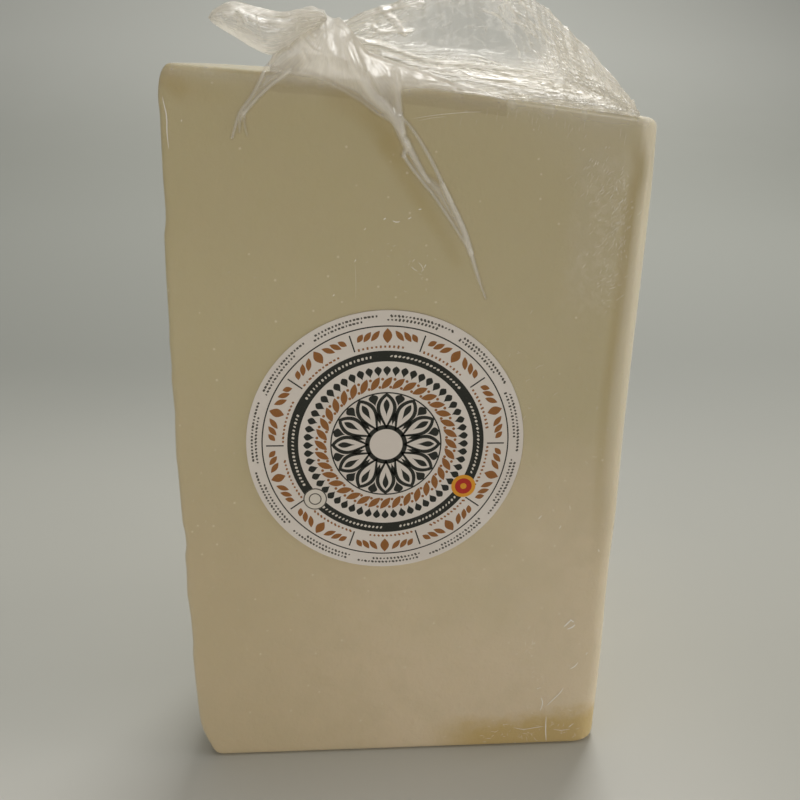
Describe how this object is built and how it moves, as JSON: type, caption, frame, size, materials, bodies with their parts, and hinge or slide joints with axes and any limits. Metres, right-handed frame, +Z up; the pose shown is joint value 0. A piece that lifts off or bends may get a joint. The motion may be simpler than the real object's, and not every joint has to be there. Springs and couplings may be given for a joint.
{
  "type": "vacuum-packed quarter wheel of pecorino romano",
  "caption": "Upright quarter of a hard sheep's-milk cheese wheel in tight clear film, with a gathered tail of film on top and a round paper label on the cut face.",
  "frame": {"origin": "middle of the whole part's box, on the surface it stands on", "axes": "+Z up, the labelled cut face looks along -Y, the wheel's heel is on the -X side"},
  "size_m": [0.1668, 0.1744, 0.299],
  "materials": {
    "cheese": "close-grained ivory paste, slightly waxy under the film",
    "film": "thin clear glossy packing film",
    "label": "white coated paper, printed"
  },
  "bodies": {
    "root": {"cheese": "cheese", "film": "film", "label": "label"}
  },
  "joints": []
}
